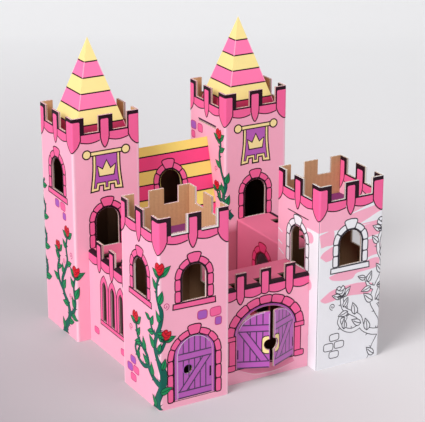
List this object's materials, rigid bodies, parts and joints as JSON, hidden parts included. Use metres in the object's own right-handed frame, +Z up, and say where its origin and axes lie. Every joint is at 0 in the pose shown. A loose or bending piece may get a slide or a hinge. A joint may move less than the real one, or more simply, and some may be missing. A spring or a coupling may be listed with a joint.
{
  "type": "cardboard toy castle",
  "caption": "Folded corrugated-board toy castle with square towers, striped spires, ramparts, a gatehouse with opening leaves and a striped palace roof.",
  "frame": {"origin": "on the ground, in the middle of the four towers' footprint", "axes": "+Z up, -Y towards the gate, +X to the right seen from the gate"},
  "size_m": [0.334, 0.34, 0.415],
  "materials": {
    "pink_board": "matt corrugated board with a printed pink outer liner",
    "uncoloured_board": "matt white corrugated board with black outlines, partly coloured in",
    "roof_board": "matt corrugated board printed in yellow and pink stripes",
    "floor_board": "matt corrugated board printed purple",
    "door_board": "matt corrugated board printed as purple planks"
  },
  "bodies": {
    "castle": {"tower_front_left": "pink_board", "tower_front_right": "uncoloured_board", "tower_back_left": "pink_board", "tower_back_right": "pink_board", "floor_front_left": "floor_board", "floor_front_right": "floor_board", "floor_back_left": "floor_board", "floor_back_right": "floor_board", "spire_left": "roof_board", "spire_right": "roof_board", "rampart_left": "pink_board", "rampart_right": "pink_board", "gatehouse": "pink_board", "palace": "roof_board"},
    "gate_left": {"gate_leaf_left": "door_board"},
    "gate_right": {"gate_leaf_right": "door_board"},
    "door": {"tower_door": "door_board"}
  },
  "joints": [
    {"name": "gate_left_fold", "type": "hinge", "parent": "castle", "child": "gate_left", "pos_m": [-0.0435, -0.15, 0.06], "axis": [0, 0, -1], "range_deg": [-23.5, 86.5]},
    {"name": "gate_right_fold", "type": "hinge", "parent": "castle", "child": "gate_right", "pos_m": [0.0435, -0.15, 0.06], "axis": [0, 0, 1], "range_deg": [-23.5, 86.5]},
    {"name": "tower_door_fold", "type": "hinge", "parent": "castle", "child": "door", "pos_m": [-0.0915, -0.17, 0.05], "axis": [0, 0, 1], "range_deg": [0, 110]}
  ]
}
